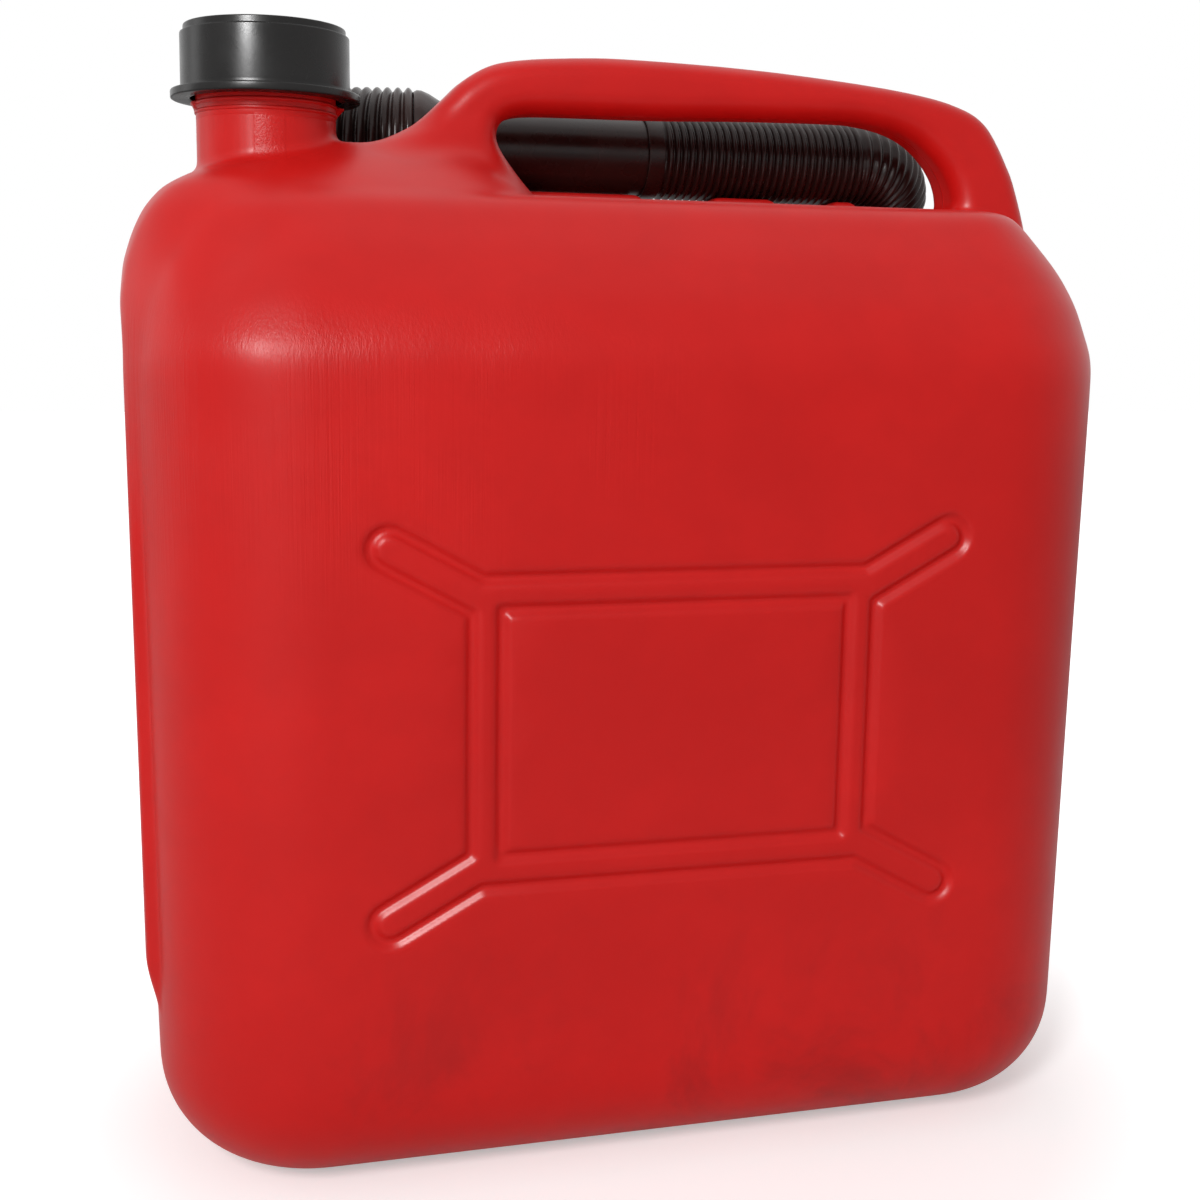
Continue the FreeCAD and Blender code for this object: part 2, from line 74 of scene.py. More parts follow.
SKIN = 0.04                                  # turned neck over the moulded one
TABLE_LO = -45                               # start of the section's table, one row per millimetre
TANK_FACES = 190000


def smin(a, b, k):
    """Smaller of two fields, blended over k."""
    h = np.maximum(k - np.abs(a - b), 0.0) / k
    return np.minimum(a, b) - h * h * k * 0.25


def smax(a, b, k):
    return -smin(-a, -b, k)


def ramp(lo, hi, v):
    t = np.clip((v - lo) / (hi - lo), 0.0, 1.0)
    return t * t * (3 - 2 * t)


def corner(qu, qv, r):
    """Distance to an edge of radius r between two faces."""
    return np.hypot(np.maximum(qu, 0), np.maximum(qv, 0)) + np.minimum(np.maximum(qu, qv), 0) - r


def rounded_box(u, v, hu, hv, r):
    """Distance to a rounded rectangle, negative inside."""
    return corner(np.abs(u) - hu + r, np.abs(v) - hv + r, r)


def curve_through(points, per):
    """Catmull-Rom points through rows of numbers."""
    p = np.array(points, float)
    p = np.vstack([2 * p[0] - p[1], p, 2 * p[-1] - p[-2]])
    out = []
    for i in range(1, len(p) - 2):
        for t in np.arange(per) / per:
            a, b, c, d = p[i - 1], p[i], p[i + 1], p[i + 2]
            out.append(0.5 * (2 * b + (c - a) * t + (2 * a - 5 * b + 4 * c - d) * t * t
                              + (3 * b - a - 3 * c + d) * t ** 3))
    out.append(p[-2])
    return np.array(out)


def outline_distance(px, pz, pts):
    """Distance from a plane grid to a closed polyline."""
    best = np.full(px.shape, 1e9)
    n = len(pts)
    for i in range(n):
        a, b = pts[i], pts[(i + 1) % n]
        ab = b - a
        t = np.clip(((px - a[0]) * ab[0] + (pz - a[1]) * ab[1]) / max(ab @ ab, 1e-9), 0, 1)
        best = np.minimum(best, np.hypot(px - a[0] - t * ab[0], pz - a[1] - t * ab[1]))
    return best


def polygon_distance(px, pz, pts):
    """Distance to a closed polyline, negative inside."""
    d = outline_distance(px, pz, pts)
    inside = np.zeros(px.shape, bool)
    n = len(pts)
    for i in range(n):
        (x0, z0), (x1, z1) = pts[i], pts[(i + 1) % n]
        if z0 != z1:
            hit = ((z0 > pz) != (z1 > pz)) & (px < (x1 - x0) * (pz - z0) / (z1 - z0) + x0)
            inside ^= hit
    return np.where(inside, -d, d)


# ---------------------------------------------------------------- the moulded tank as a field
# share of the way from crease to deck, and inset from the wall
SHOULDER = ((-0.17, 0.0), (-0.06, 0.7), (0.03, 2.4), (0.14, 5.2), (0.28, 9.3), (0.43, 14.8),
            (0.61, 21.7), (0.76, 28.0), (0.90, 34.1), (0.965, 38.2), (0.99, 42.5), (1.0, 49.0))


def profile_table():
    """Signed distance to the tank's section in the plane of inset from the wall and height."""
    pts = [(400.0, 0.0)]
    for k in range(19):
        t = math.radians(5 * k)
        pts.append((BASE_R * (1 - math.sin(t)), BASE_R * (1 - math.cos(t))))
    sh = curve_through([(s, CREASE + k * (DECK - CREASE)) for k, s in SHOULDER], 5)
    pts += [tuple(p) for p in sh] + [(400.0, DECK)]
    pts = np.array(pts)
    s, z = np.meshgrid(np.arange(TABLE_LO, 121, 1.0), np.arange(TABLE_LO, 521, 1.0), indexing="ij")
    return polygon_distance(s, z, pts).astype(F32)


def tank_field(x, y, z, table):
    """The tank's own body: the inset from the walls is solved first, then looked up with the height."""
    lean = np.maximum(0, 1 - z / CREASE)
    hx, hy = HALF_LEN - LEAN_X * lean, HALF_DEP - LEAN_Y * lean
    up = ramp(150.0, 250.0, z)
    ratio, k, r0 = 1 + SLOPE_RATIO * up, 1 - CORNER_SHRINK * up, CORNER_R
    # the end with the pillar of the handle slopes less
    wide = 6.5 * ramp(314.0, 350.0, z) * ramp(20.0, 110.0, x)
    u, v = np.abs(x) - wide, np.abs(y)
    flat = np.minimum(hx - u, (hy - v) / ratio)
    al, be = 1 - k, ratio - k
    a, b = u - hx + r0, v - hy + r0
    # round the corner, the inset is the root of a quadratic
    qa, qb, qc = al * al + be * be - k * k, al * a + be * b + k * r0, a * a + b * b - r0 * r0
    sc = -qc / np.maximum(qb + np.sqrt(np.maximum(qb * qb - qa * qc, 0)), 1e-3)
    s = np.where((a + al * sc > 0) & (b + be * sc > 0), sc, flat)
    fs = np.clip(s - TABLE_LO, 0, table.shape[0] - 1.01)
    fz = np.clip(np.broadcast_to(z, s.shape) - TABLE_LO, 0, table.shape[1] - 1.01)
    i, j = fs.astype(int), fz.astype(int)
    fs, fz = fs - i, fz - j
    return ((table[i, j] * (1 - fs) + table[i + 1, j] * fs) * (1 - fz)
            + (table[i, j + 1] * (1 - fs) + table[i + 1, j + 1] * fs) * fz)


# the rise under the neck: height, both ends along x, half depth, corner radius
MOUND = ((300.0, -190.9, -30.0, 90.0, 60.0), (318.0, -191.0, -30.0, 88.5, 60.0),
         (331.0, -191.0, -30.0, 80.0, 58.0), (345.0, -189.3, -30.0, 70.5, 55.0),
         (357.0, -185.4, -31.0, 62.0, 50.0), (366.0, -180.0, -33.0, 55.0, 45.0),
         (374.0, -171.5, -38.0, 45.0, 38.0), (381.0, -161.0, -46.0, 34.0, 30.0),
         (387.0, -150.0, -54.0, 23.5, 21.0), (390.6, -138.0, -60.0, 15.0, 13.5),
         (392.2, -130.0, -66.0, 8.0, 7.0))


def mound_field(x, y, z):
    m = np.array(MOUND)
    low, high = m[0, 0], m[-1, 0]
    x0, x1, hy, r = [np.interp(z, m[:, 0], m[:, c]) for c in (1, 2, 3, 4)]
    slope = np.abs(np.gradient(m[:, 3], m[:, 0]))
    g = np.interp(z, m[:, 0], np.minimum(slope, 2.2))
    d = rounded_box(x - (x0 + x1) / 2, y, (x1 - x0) / 2, hy, r) / np.sqrt(1 + g * g)
    return np.maximum(d, np.maximum(z - high, low - z))


# outer and inner outline of the handle, in (x, height)
HANDLE_OUT = ((-104, 345), (-101, 372), (-92, 390), (-83.5, 399.2), (-77.5, 405.0), (-71, 411.2),
              (-64.5, 417.2), (-54.2, 423.1), (-41.3, 425.9), (-22, 427.6), (-0.9, 428.4),
              (41, 427.6), (75.4, 425.8), (110.9, 422.8), (134, 419.6), (146.5, 416.4),
              (154, 413.2), (160, 408.3), (165, 401.0), (169, 393.5), (172, 387.0), (176.3, 373),
              (180.5, 356), (186, 335), (187.6, 322))
HANDLE_IN = ((-38, 345), (-43.5, 368), (-48.5, 381), (-52, 390), (-53, 396), (-50.8, 401.2),
             (-45, 404.4), (-36, 405.6), (-18, 406.0), (17.6, 406.5), (55, 407.8), (93.3, 408.4),
             (106, 407.6), (117, 405.4), (126.3, 401.6), (133.4, 396.4), (139.0, 390.4),
             (142.8, 384.0), (144.6, 376), (144, 365), (138, 345), (137, 322))


def handle_field(x, y, z):
    outer, inner = curve_through(HANDLE_OUT, 4), curve_through(HANDLE_IN, 4)
    gx, gz = np.broadcast_arrays(x[:, 0, :], z[:, 0, :])
    d = polygon_distance(gx, gz, np.vstack([outer, inner[::-1]]))[:, None, :]
    hy = HANDLE_HALF + np.interp(z, (345, 374, 390, 405), (4.0, 2.0, 0.8, 0.0))
    return corner(d + HANDLE_EDGE, np.abs(y) - hy + HANDLE_EDGE, HANDLE_EDGE)


def band_height(x, y, z):
    """How far the wide upright bands stand out of the end walls."""
    high = ramp(230.0, 345.0, z)
    edge = 5.0 + 19.0 * high
    w = 1 - ramp(BAND_HALF - edge / 2, BAND_HALF + edge / 2, np.abs(y))
    foot = ramp(BAND_FOOT, BAND_FOOT + 25.0, z)
    left = foot * (1 - ramp(371.0, 387.0, z)) * (1 - ramp(-158.0, -138.0, x))
    right = foot * (1 - ramp(296.0, 350.0, z)) * ramp(150.0, 172.0, x)
    return BAND_PROUD * w * (left + right)


AHEAD = np.array((1.0, 0, 0))
DROOP = np.array((0, 0.77, -0.64)) / math.hypot(0.77, 0.64)      # the way the hose's end turns


def spout_point(x):
    """Point on the straight part of the spout's axis."""
    return np.array((x, SPOUT_Y, SPOUT_Z))


def axis_at(s):
    """Point and direction on the spout's axis, s back from the cone, round the bellows' bend."""
    if s <= 0:
        return spout_point(CONE_X1 - s), -AHEAD
    t = min(s / BEND_R, BEND_A)
    p = np.array((CONE_X1 - BEND_R * math.sin(t), SPOUT_Y + BEND_R * (1 - math.cos(t)), SPOUT_Z))
    d = np.array((-math.cos(t), math.sin(t), 0.0))
    return p + d * max(0.0, s - BEND_R * BEND_A), d


def hose_at(s):
    """Point and direction along the hose, s from where its end turns down."""
    if s <= 0:
        return spout_point(HOSE_X1 + s), AHEAD
    t = min(s / HOSE_BEND, HOSE_A)
    p = spout_point(HOSE_X1 + HOSE_BEND * math.sin(t)) + DROOP * HOSE_BEND * (1 - math.cos(t))
    d = np.array((math.cos(t), 0, 0)) + DROOP * math.sin(t)
    return p + d * max(0.0, s - HOSE_BEND * HOSE_A), d


def room_field(x, y, z):
    """Room that the stored spout lies in: cones between spheres along its axis."""
    bend, turn = BEND_R * BEND_A, HOSE_BEND * HOSE_A
    total = bend + BEND_LEN
    tube, hose = TUBE_R + ROOM_GAP, HOSE_R + ROOM_GAP
    st = [(axis_at(s)[0], NECK_R + ROOM_GAP) for s in (total + ROOM_GAP, bend)]
    st += [(axis_at(bend * k)[0], BELLOWS_R + ROOM_GAP + 0.6) for k in (0.75, 0.5, 0.25, 0.0)]
    st += [(spout_point(CONE_X1 + 2), BELLOWS_R - 2.0), (spout_point(CONE_X1 + 8), tube),
           (spout_point(HOSE_X0 - 1), tube), (spout_point(HOSE_X0 + 1), hose)]
    st += [(hose_at(turn * k / 8)[0], hose) for k in range(9)]
    st.append((hose_at(turn + HOSE_CUFF + 8 + ROOM_GAP)[0], hose))
    best = None
    for (a, ra), (b, rb) in zip(st, st[1:]):
        ab = b - a
        t = ((x - a[0]) * ab[0] + (y - a[1]) * ab[1] + (z - a[2]) * ab[2]) / (ab @ ab)
        t = np.clip(t, 0, 1)
        d = np.sqrt((x - a[0] - t * ab[0]) ** 2 + (y - a[1] - t * ab[1]) ** 2
                    + (z - a[2] - t * ab[2]) ** 2) - (ra + (rb - ra) * t)
        best = d if best is None else np.minimum(best, d)
    # the base end is flat
    p, d = axis_at(total + ROOM_GAP)
    flat = (x - p[0]) * d[0] + (y - p[1]) * d[1] + (z - p[2]) * d[2]
    return np.maximum(best, flat)


def groove_lines():
    """Both outlines of the pattern on a large face, as closed polylines in (x, height)."""
    hw, hh = 78.0, 57.5              # half width and half height of the frame
    ax, az, ar = 107.6, 68.7, 6.7    # end of an arm and its radius
    ux, uz = ax - (hw - 5.0), az - (hh - 8.0)
    n = math.hypot(ux, uz)
    ux, uz = ux / n, uz / n
    nx, nz = -uz, ux
    top, low = (ax + nx * ar, az + nz * ar), (ax - nx * ar, az - nz * ar)
    k1, k2 = (top[1] - hh) / uz, (low[0] - hw) / ux
    quad = [(top[0] - ux * k1, hh)]
    a0 = math.atan2(nz, nx)
    for k in range(11):
        a = a0 - math.pi * k / 10
        quad.append((ax + ar * math.cos(a), az + ar * math.sin(a)))
    quad.append((hw, low[1] - uz * k2))
    outer = []
    for sx, sz, flip in ((1, 1, False), (1, -1, True), (-1, -1, False), (-1, 1, True)):
        q = [(sx * a, sz * b) for a, b in quad]
        outer += q[::-1] if flip else q
    inner = [(PANEL_X, PANEL_Z), (PANEL_X, -PANEL_Z), (-PANEL_X, -PANEL_Z), (-PANEL_X, PANEL_Z)]
    return np.array(outer) + (0, GROOVE_Z), np.array(inner) + (0, GROOVE_Z)


def finer(field, times):
    """The field on a grid so many times finer, smoothed by cubic B-splines."""
    for axis in range(3):
        a = np.moveaxis(field, axis, 0)
        m = a.shape[0]
        b = np.concatenate([2 * a[:1] - a[1:2], a, 2 * a[-1:] - a[-2:-1]])
        out = np.empty(((m - 1) * times + 1,) + a.shape[1:], F32)
        for k in range(times):
            t = k / times
            w = ((1 - t) ** 3 / 6, (3 * t ** 3 - 6 * t * t + 4) / 6,
                 (-3 * t ** 3 + 3 * t * t + 3 * t + 1) / 6, t ** 3 / 6)
            out[k:(m - 1) * times:times] = sum(F32(w[q]) * b[q:q + m - 1] for q in range(4))
        out[-1] = a[-1]
        field = np.moveaxis(out, 0, axis)
    return np.ascontiguousarray(field)


def spread(ax):
    """Three lines of coordinates, ready to span a block."""
    return ax[0][:, None, None], ax[1][None, :, None], ax[2][None, None, :]


def tank_base(lo, step):
    """The tank's body and the rise under its neck, on the fine grid, with the grid's coordinates."""
    times = 4
    size = np.array((400.0, 200.0, 455.0))
    n = np.ceil(size / (step * times)).astype(int) + 1
    cx, cy, cz = spread([(lo[i] + step * times * np.arange(n[i])).astype(F32) for i in range(3)])
    body = tank_field(cx, cy, cz, profile_table())
    base = finer(np.minimum(body, mound_field(cx, cy, cz) + 0.4).astype(F32), times)
    return base, [(lo[i] + step * np.arange(base.shape[i])).astype(F32) for i in range(3)]


def tank_details(base, ax):
    """Adds to the field, in place, all that stands out of the tank or is cut into it."""

    def block(x0, x1, y0, y1, z0, z1):
        sl = []
        for v, a, b in zip(ax, (x0, y0, z0), (x1, y1, z1)):
            i0, i1 = np.searchsorted(v, a), np.searchsorted(v, b)
            sl.append(slice(max(i0, 0), min(i1 + 1, len(v))))
        return tuple(sl), *spread([v[q] for v, q in zip(ax, sl)])

    # end bands
    for x0, x1 in ((-200, -130), (140, 200)):
        sl, x, y, z = block(x0, x1, -54, 54, 50, 395)
        base[sl] -= band_height(x, y, z)
    # carrying handle, with fillets at its feet
    sl, x, y, z = block(-140, 200, -46, 46, 312, 440)
    k = np.interp(x, (-60, 60, 125, 160), (14.0, 8.0, 9.0, 3.0))
    base[sl] = smin(base[sl], handle_field(x, y, z), k)
    # neck
    sl, x, y, z = block(-195, -90, -55, 55, 355, 445)
    tube = np.hypot(x - NECK_X, y) - NECK_R
    tube = np.maximum(tube, z - 400.4)
    base[sl] = smin(base[sl], tube, 4.0)
    # trough of the spout, and the saddles that carry it
    sl, x, y, z = block(-165, 175, 5, 100, 345, 430)
    base[sl] = smax(base[sl], -room_field(x, y, z), 3.5)
    for x0, x1, r in SADDLES:
        sl, x, y, z = block(x0 - 8, x1 + 8, 18, 68, 345, 392)
        half = 18.0 + (SADDLE_TOP - z) * 0.04
        b = rounded_box(x - (x0 + x1) / 2, y - SPOUT_Y, (x1 - x0) / 2, half, 3.0)
        b = smax(b, z - SADDLE_TOP, 5.0)
        b = smax(b, r + SADDLE_GAP - np.hypot(y - SPOUT_Y, z - SPOUT_Z), 1.0)
        base[sl] = smin(base[sl], b, 4.0)
    # bore of the neck and the room under it
    sl, x, y, z = block(-190, -60, -70, 70, 285, 445)
    bore = np.maximum(np.hypot(x - NECK_X, y) - (NECK_R - NECK_WALL), DECK - z)
    room = np.sqrt((x + 118) ** 2 * 0.7 + y ** 2 + ((z - 338) * 1.25) ** 2) - 48
    base[sl] = smax(base[sl], -smin(bore, room, 6.0), 1.0)
    # shallow panel under the base
    sl, x, y, z = block(-130, 130, -40, 40, -10, 20)
    pan = np.maximum(rounded_box(x, y, *RECESS[:3]), z - RECESS[3])
    base[sl] = smax(base[sl], -pan, 2.0)
    # grooves on both large faces
    sl, x, y, z = block(-125, 125, -100, 100, 90, 265)
    gx, gz = np.broadcast_arrays(x[:, 0, :], z[:, 0, :])
    g = np.zeros(gx.shape)
    for line in groove_lines():
        d = outline_distance(gx, gz, line)
        g = np.maximum(g, GROOVE_DEEP * (1 - ramp(0.35, 3.3, d)))
    base[sl] += (g[:, None, :] * ramp(60.0, 75.0, np.abs(y))).astype(F32)
    # thin moulded walls never come out quite flat
    x, y, z = spread(ax)
    wave = (0.16 * np.sin(x * 0.021 + 0.6) * np.sin(z * 0.026 + 1.1)
            + 0.10 * np.sin(x * 0.047 - z * 0.031))
    fade = ramp(45.0, 75.0, np.abs(y)) * ramp(30.0, 80.0, z) * (1 - ramp(290.0, 330.0, z))
    base += (wave * fade).astype(F32)


def field_normals(mesh, base, lo, step):
    """Unit normals at the vertices, from the slope of the field."""
    co = np.empty(len(mesh.vertices) * 3)
    mesh.vertices.foreach_get("co", co)
    p = (co.reshape(-1, 3) / MM - lo) / step
    i = np.clip(p.astype(int), 1, np.array(base.shape) - 3)
    f = p - i
    nor = np.zeros_like(p)
    for dx, dy, dz in itertools.product((0, 1), repeat=3):
        w = (abs(1 - dx - f[:, 0]) * abs(1 - dy - f[:, 1]) * abs(1 - dz - f[:, 2]))[:, None]
        a, b, c = i[:, 0] + dx, i[:, 1] + dy, i[:, 2] + dz
        nor += w * np.stack([base[a + 1, b, c] - base[a - 1, b, c],
                             base[a, b + 1, c] - base[a, b - 1, c],
                             base[a, b, c + 1] - base[a, b, c - 1]], 1)
    return nor / np.maximum(np.linalg.norm(nor, axis=1), 1e-9)[:, None]


def tank_mesh():
    step = 1.25
    lo = np.array((-200.0, -100.0, -10.0))
    base, ax = tank_base(lo, step)
    tank_details(base, ax)
    grid = openvdb.FloatGrid(background=3 * step)
    grid.copyFromArray(np.clip(base, -3 * step, 3 * step))
    pts, tris, quads = grid.convertToPolygons(isovalue=0.0, adaptivity=0.0)
    pts = np.asarray(pts, np.float64)
    mesh = bpy.data.meshes.new("tank")
    faces = np.asarray(quads).tolist() + np.asarray(tris).tolist()
    mesh.from_pydata((pts * step + lo) * MM, [], faces)
    mesh.validate()
    obj = bpy.data.objects.new("tank", mesh)
    bpy.context.scene.collection.objects.link(obj)
    count = sum(len(p.vertices) - 2 for p in mesh.polygons)
    mod = obj.modifiers.new("fewer", "DECIMATE")
    mod.ratio = min(1.0, TANK_FACES / count)
    dg = bpy.context.evaluated_depsgraph_get()
    mesh = bpy.data.meshes.new_from_object(obj.evaluated_get(dg))
    obj.modifiers.clear()
    obj.data = mesh
    mesh.name = "tank"
    # shading follows the field, not the facets
    mesh.polygons.foreach_set("use_smooth", np.ones(len(mesh.polygons), bool))
    mesh.normals_split_custom_set_from_vertices(field_normals(mesh, base, lo, step).tolist())
    return obj


# ---------------------------------------------------------------- turned and swept pieces
def grid_object(name, pts, closed, smooth):
    """Object from rings of points, pts[ring][around]; closed joins the last ring to the first."""
    pts = np.asarray(pts, float)
    nu, nv = pts.shape[0], pts.shape[1]
    faces = []
    for i in range(nu if closed else nu - 1):
        for j in range(nv):
            a, b = i * nv + j, i * nv + (j + 1) % nv
            c, d = ((i + 1) % nu) * nv + (j + 1) % nv, ((i + 1) % nu) * nv + j
            faces.append((a, b, c, d))
    return mesh_object(name, pts.reshape(-1, 3), faces, smooth)


def mesh_object(name, verts, faces, smooth):
    """Object from points in millimetres, shaded smooth up to an angle in degrees."""
    mesh = bpy.data.meshes.new(name)
    mesh.from_pydata(np.asarray(verts) * MM, [], faces)
    mesh.validate()
    obj = bpy.data.objects.new(name, mesh)
    bpy.context.scene.collection.objects.link(obj)
    bpy.context.view_layer.objects.active = obj
    for o in bpy.context.selected_objects:
        o.select_set(False)
    obj.select_set(True)
    bpy.ops.object.mode_set(mode="EDIT")
    bpy.ops.mesh.select_all(action="SELECT")
    bpy.ops.mesh.remove_doubles(threshold=1e-6)
    bpy.ops.mesh.normals_make_consistent(inside=False)
    bpy.ops.object.mode_set(mode="OBJECT")
    bpy.ops.object.shade_smooth_by_angle(angle=math.radians(smooth))
    obj.select_set(False)
    return obj


def soften(points, r, per, closed=False):
    """Rounds the corners of a polyline of (radius, height) points."""
    p = np.array(points, float)
    out = []
    n = len(p)
    for i in range(n):
        if not closed and i in (0, n - 1):
            out.append(p[i])
            continue
        a, b, c = p[i - 1], p[i], p[(i + 1) % n]
        la, lc = np.linalg.norm(a - b), np.linalg.norm(c - b)
        if la < 1e-6 or lc < 1e-6:
            continue
        q = min(r, la * 0.45, lc * 0.45)
        s, e = b + (a - b) / la * q, b + (c - b) / lc * q
        for k in range(per + 1):
            t = k / per
            out.append((1 - t) ** 2 * s + 2 * t * (1 - t) * b + t * t * e)
    return np.array(out)


def turned(name, profile, around=128, closed=True, bump=None, smooth=40.0):
    """Surface of revolution about the neck's axis; bump(angle, r, z) adds to the radius."""
    th = np.arange(around) * 2 * math.pi / around
    rows = []
    for r, z in profile:
        rr = np.full(around, r)
        if bump is not None:
            rr = rr + bump(th, r, z)
        rows.append(np.stack([NECK_X + rr * np.cos(th), rr * np.sin(th), np.full(around, z)], 1))
    return grid_object(name, rows, closed, smooth)


def swept(name, stations, around=96):
    """Closed tube wall through (point, direction, radius) rings that go out and come back inside."""
    th = np.arange(around) * 2 * math.pi / around
    rows = []
    for p, d, r in stations:
        d = d / np.linalg.norm(d)
        u = np.cross(d, (0, 0, 1.0))
        u /= np.linalg.norm(u)
        v = np.cross(u, d)
        rows.append(p + r * (np.cos(th)[:, None] * u + np.sin(th)[:, None] * v))
    return grid_object(name, rows, True, 50.0)


def wave_rings(n, step, r_root, r_top, path, s0, sign):
    """Rounded corrugations along a path, from s0 forwards (1) or back (-1)."""
    per, sharp = 8, 0.6
    out = []
    for i in range(n):
        for k in range(per):
            t = (k + 0.5) / per
            c = (0.5 - 0.5 * math.cos(2 * math.pi * t)) ** sharp
            p, d = path(s0 + sign * (i + t) * step)
            # known fault: going back (-1) the rings next to these face -d, which leaves a crossed
            # band at each end of the large bellows; d * sign here would mend it
            out.append((p, d, r_root + (r_top - r_root) * c))
    return out


def spout_tube_object():
    total = BEND_R * BEND_A + BEND_LEN
    root = BELLOWS_R - BELLOWS_DEEP
    fl = NECK_R - 0.1
    st = []
    # base flange
    for back, r in ((0.0, fl - 0.5), (0.15, fl - 0.12), (0.5, fl), (2.0, fl), (2.35, fl - 0.15),
                    (2.5, fl - 0.5), (2.5, root + 0.5), (2.8, root)):
        p, d = axis_at(total - back)
        st.append((p, -d, r))
    s_top, s_end = total - 3.5, CONE_X1 - CONE_X0
    n = int(round((s_top - s_end) / BELLOWS_PITCH))
    st += wave_rings(n, (s_top - s_end) / n, root, BELLOWS_R, axis_at, s_top, -1)
    # cone down to the tube
    for k, r in ((0.0, BELLOWS_R - 1.6), (0.08, BELLOWS_R - 0.9), (0.2, BELLOWS_R - 1.0),
                 (0.4, BELLOWS_R - 2.2), (0.6, BELLOWS_R - 4.0), (0.8, BELLOWS_R - 5.8),
                 (0.93, TUBE_R + 0.8), (1.0, TUBE_R + 0.25), (1.1, TUBE_R)):
        p, d = axis_at(s_end * (1 - k))
        st.append((p, -d, r))
    # smooth tube, and back inside
    bore = TUBE_R - TUBE_WALL
    st += [(spout_point(x), AHEAD, TUBE_R) for x in np.linspace(-55, TUBE_X1 - 0.5, 14)]
    st += [(spout_point(TUBE_X1), AHEAD, r) for r in (TUBE_R - 0.4, bore)]
    st += [(spout_point(x), AHEAD, bore) for x in np.linspace(TUBE_X1 - 4, -55, 6)]
    for s in np.linspace(0, total - 2, 14):
        p, d = axis_at(s)
        st.append((p, -d, min(root - TUBE_WALL, bore + s * 0.6)))
    p, d = axis_at(total)
    st += [(p, -d, root - TUBE_WALL), (p, -d, root + 1.0)]
    return swept("spout_bellows_and_tube", st)


def spout_hose_object():
    root = HOSE_R - HOSE_DEEP
    plug = TUBE_R - TUBE_WALL - 0.05
    # the plain end inside the tube
    st = [(spout_point(TUBE_X1 + x), AHEAD, r) for x, r in
          ((-15, plug - 0.4), (-14.5, plug), (0.2, plug), (0.4, root))]
    total = HOSE_X1 - HOSE_X0 + HOSE_BEND * HOSE_A
    n = int(total / HOSE_PITCH)
    st += wave_rings(n, total / n, root, HOSE_R, hose_at, HOSE_X0 - HOSE_X1, 1)
    s_end = HOSE_BEND * HOSE_A
    # outlet, and back inside
    for ds, r in ((0.4, root), (2.0, root - 0.2), (HOSE_CUFF - 1.2, root - 0.6),
                  (HOSE_CUFF - 0.3, root - 0.75), (HOSE_CUFF, root - 1.1), (HOSE_CUFF, root - 1.9),
                  (HOSE_CUFF - 0.4, root - 2.2)):
        p, d = hose_at(s_end + ds)
        st.append((p, d, r))
    for s in np.linspace(s_end + HOSE_CUFF - 3, HOSE_X0 - HOSE_X1 + 1, 26):
        p, d = hose_at(s)
        st.append((p, d, root - HOSE_WALL - 1.0))
    st.append((spout_point(TUBE_X1 - 15), AHEAD, plug - HOSE_WALL))
    return swept("spout_hose", st)


def spout_collar_object():
    r0, r1 = TUBE_R + 0.05, TUBE_R + 1.35
    x0, x1 = TUBE_X1 - 7.0, TUBE_X1
    prof = soften([(x0, r0), (x0, r1), (x1, r1), (x1, r0)], 0.45, 3, closed=True)
    st = [(spout_point(x), AHEAD, r) for x, r in prof]
    return swept("spout_collar", st)


def thread_height(th, z, z_start, turns, half, high):
    """Height of a single thread that starts at z_start and fades out at both ends."""
    d = np.zeros_like(th)
    for turn in range(3):
        ang = th + turn * 2 * math.pi
        middle = z_start + THREAD_PITCH * ang / (2 * math.pi)
        h = np.clip((half - np.abs(z - middle)) / 0.7, 0, 1) * high
        last = turns * 2 * math.pi
        d = np.maximum(d, h * ramp(0.0, 0.35, ang) * (1 - ramp(last - 0.35, last, ang)))
    return d


def neck_object():
    """Threaded top of the neck with two beads, a locking lug and a pawl."""
    outer, inner = NECK_R + SKIN, NECK_R - NECK_WALL
    out = [(outer, 398.6)]
    for z in (401.2, 404.4):
        for k in range(9):
            a = -math.pi / 2 + math.pi * k / 8
            out.append((outer + 0.55 * math.cos(a), z + 0.75 * math.sin(a)))
    out += [(outer, z) for z in np.arange(406.0, 424.6, 0.4)]
    out += [(outer, NECK_TOP - 0.9), (NECK_R - 0.2, NECK_TOP - 0.3), (NECK_R - 0.8, NECK_TOP),
            (inner + 0.7, NECK_TOP), (inner + 0.2, NECK_TOP - 0.2), (inner, NECK_TOP - 0.7)]
    out += [(inner, z) for z in np.arange(421, 397, -4.0)]
    out += [(inner + 0.6, 396.6), (NECK_R - 0.7, 396.6)]

    def tooth(th, z, middle, half, high):
        """A small block on the neck's side, round the angle middle."""
        w = NECK_R * np.abs(np.angle(np.exp(1j * (th - middle))))
        up = np.clip(min(z - 401.6, 405.5 - z) / 0.8, 0, 1)
        return np.clip((half - w) / 0.8, 0, 1) * up * high

    def bump(th, r, z):
        if r < NECK_R - 0.05:
            return np.zeros_like(th)
        d = thread_height(th, z, NECK_THREAD_Z, NECK_TURNS, 1.45, 1.6)
        lug, pawl = tooth(th, z, math.pi, 4.5, 1.3), tooth(th, z, 0.0, 3.0, 2.6)
        return np.maximum(d, np.maximum(lug, pawl))

    return turned("neck_finish", out, 192, bump=bump, smooth=55.0)


